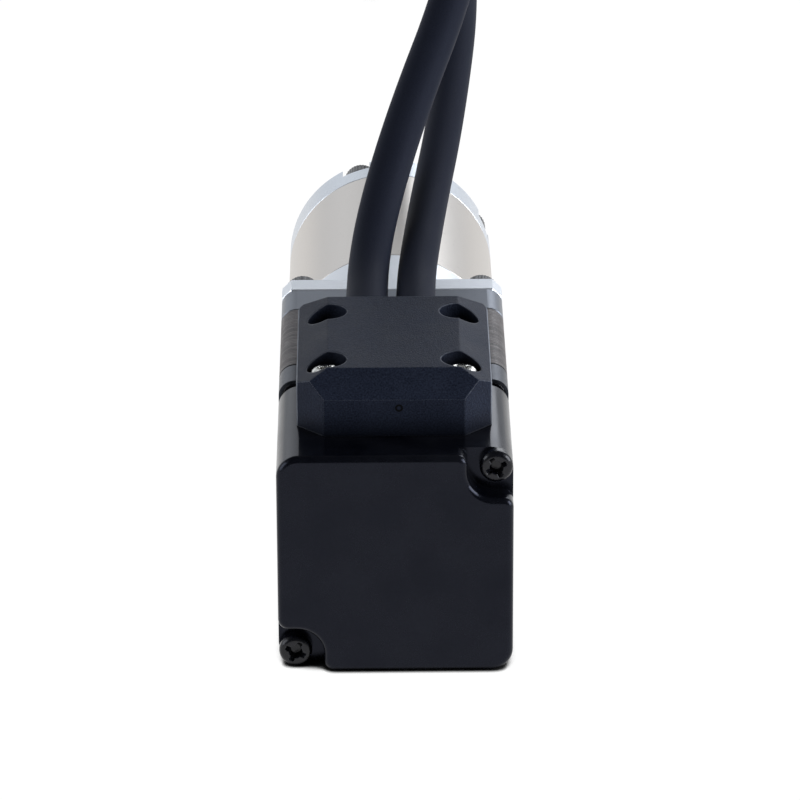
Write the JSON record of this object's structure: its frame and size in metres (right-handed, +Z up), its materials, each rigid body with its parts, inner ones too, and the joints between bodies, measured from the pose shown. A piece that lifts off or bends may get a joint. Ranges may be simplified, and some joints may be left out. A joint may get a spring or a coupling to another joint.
{
  "type": "geared stepper motor",
  "caption": "Square-bodied stepper motor with a planetary gearbox on its output end, an encoder under a black rear cover and its cables leaving a box on top.",
  "frame": {"origin": "centre of the output mounting face, on the shaft's axis", "axes": "+Y out along the output shaft, +Z up towards the cable box, +X to the right seen from the encoder end"},
  "size_m": [0.0316, 0.328, 0.0758],
  "materials": {
    "black_cover": "satin moulded plastic",
    "black_box": "fine textured moulded plastic",
    "seal_rubber": "soft black rubber",
    "cable_jacket": "matte cable jacket",
    "black_screw": "black oxide steel",
    "stainless_screw": "plain stainless steel",
    "bell_alloy": "satin die casting",
    "lamination": "stacked sheet edges",
    "flange_alloy": "bright machined",
    "ring_nickel": "nickel plated, satin",
    "housing_alloy": "satin anodised",
    "ground_steel": "ground steel",
    "gear_steel": "hobbed steel",
    "ball_steel": "polished",
    "bush_bronze": "sintered bronze",
    "copper_wire": "enamelled copper",
    "white_nylon": "moulded nylon",
    "board_green": "solder mask over glass fibre",
    "chip_black": "moulded package",
    "disc_glass": "clear disc",
    "magnet_grey": "sintered magnet"
  },
  "bodies": {
    "housing": {"encoder_cover": "black_cover", "cover_screws": "black_screw", "cover_seal": "seal_rubber", "encoder_board": "board_green", "board_pillars": "bush_bronze", "board_screws": "stainless_screw", "board_headers": "white_nylon", "reader_chip": "chip_black", "rear_end_bell": "bell_alloy", "stator_core": "lamination", "front_end_bell": "bell_alloy", "tie_bolts": "black_screw", "front_insulator": "white_nylon", "rear_insulator": "white_nylon", "windings": "copper_wire", "front_bearing_outer": "ground_steel", "rear_bearing_outer": "ground_steel", "wave_washer": "stainless_screw", "cable_box": "black_box", "cable_box_screws": "stainless_screw", "cable_grommet": "seal_rubber", "motor_cable": "cable_jacket", "encoder_cable": "cable_jacket", "motor_plug": "white_nylon", "encoder_plug": "white_nylon", "gearbox_flange": "flange_alloy", "flange_screws": "black_screw", "planet_washer": "stainless_screw", "ring_gear": "ring_nickel", "output_housing": "housing_alloy", "long_screws": "black_screw", "rear_bush": "bush_bronze", "front_bush": "bush_bronze", "thrust_washer": "bush_bronze"},
    "rotor": {"motor_shaft": "ground_steel", "rotor_cup_front": "lamination", "rotor_cup_rear": "lamination", "rotor_magnet": "magnet_grey", "front_bearing_inner": "ground_steel", "rear_bearing_inner": "ground_steel", "disc_hub": "housing_alloy", "code_disc": "disc_glass", "sun_gear": "gear_steel"},
    "front_balls": {"front_bearing_balls": "ball_steel"},
    "rear_balls": {"rear_bearing_balls": "ball_steel"},
    "stage_1_carrier": {"stage_1_carrier": "gear_steel", "stage_1_pins": "ground_steel"},
    "output": {"output_shaft": "ground_steel", "stage_2_pins": "ground_steel", "shaft_clip": "stainless_screw"},
    "stage_1_planet_a": {"stage_1_planet_a": "gear_steel"},
    "stage_2_planet_a": {"stage_2_planet_a": "gear_steel"},
    "stage_1_planet_b": {"stage_1_planet_b": "gear_steel"},
    "stage_2_planet_b": {"stage_2_planet_b": "gear_steel"},
    "stage_1_planet_c": {"stage_1_planet_c": "gear_steel"},
    "stage_2_planet_c": {"stage_2_planet_c": "gear_steel"}
  },
  "joints": [
    {"name": "rotor_spin", "type": "hinge", "parent": "housing", "child": "rotor", "pos_m": [0, -0.0639, 0], "axis": [0, 1, 0], "continuous": true},
    {"name": "front_ball_orbit", "type": "hinge", "parent": "housing", "child": "front_balls", "pos_m": [0, -0.0526, 0], "axis": [0, 1, 0], "continuous": true},
    {"name": "rear_ball_orbit", "type": "hinge", "parent": "housing", "child": "rear_balls", "pos_m": [0, -0.0752, 0], "axis": [0, 1, 0], "continuous": true},
    {"name": "stage_1_spin", "type": "hinge", "parent": "housing", "child": "stage_1_carrier", "pos_m": [0, -0.0257, 0], "axis": [0, 1, 0], "continuous": true},
    {"name": "output_spin", "type": "hinge", "parent": "housing", "child": "output", "pos_m": [0, 0, 0], "axis": [0, 1, 0], "continuous": true},
    {"name": "stage_1_planet_a_spin", "type": "hinge", "parent": "stage_1_carrier", "child": "stage_1_planet_a", "pos_m": [0, -0.0313, 0.006], "axis": [0, 1, 0], "continuous": true},
    {"name": "stage_1_planet_b_spin", "type": "hinge", "parent": "stage_1_carrier", "child": "stage_1_planet_b", "pos_m": [0.0052, -0.0313, -0.003], "axis": [0, 1, 0], "continuous": true},
    {"name": "stage_1_planet_c_spin", "type": "hinge", "parent": "stage_1_carrier", "child": "stage_1_planet_c", "pos_m": [-0.0052, -0.0313, -0.003], "axis": [0, 1, 0], "continuous": true},
    {"name": "stage_2_planet_a_spin", "type": "hinge", "parent": "output", "child": "stage_2_planet_a", "pos_m": [0, -0.0196, 0.006], "axis": [0, 1, 0], "continuous": true},
    {"name": "stage_2_planet_b_spin", "type": "hinge", "parent": "output", "child": "stage_2_planet_b", "pos_m": [0.0052, -0.0196, -0.003], "axis": [0, 1, 0], "continuous": true},
    {"name": "stage_2_planet_c_spin", "type": "hinge", "parent": "output", "child": "stage_2_planet_c", "pos_m": [-0.0052, -0.0196, -0.003], "axis": [0, 1, 0], "continuous": true}
  ],
  "couplings": [
    {"joint": "front_ball_orbit", "follows": "rotor_spin", "ratio": 0.4},
    {"joint": "rear_ball_orbit", "follows": "rotor_spin", "ratio": 0.4},
    {"joint": "stage_1_spin", "follows": "rotor_spin", "ratio": 0.25},
    {"joint": "output_spin", "follows": "rotor_spin", "ratio": 0.0625},
    {"joint": "stage_1_planet_a_spin", "follows": "rotor_spin", "ratio": -0.75},
    {"joint": "stage_1_planet_b_spin", "follows": "rotor_spin", "ratio": -0.75},
    {"joint": "stage_1_planet_c_spin", "follows": "rotor_spin", "ratio": -0.75},
    {"joint": "stage_2_planet_a_spin", "follows": "rotor_spin", "ratio": -0.1875},
    {"joint": "stage_2_planet_b_spin", "follows": "rotor_spin", "ratio": -0.1875},
    {"joint": "stage_2_planet_c_spin", "follows": "rotor_spin", "ratio": -0.1875}
  ]
}
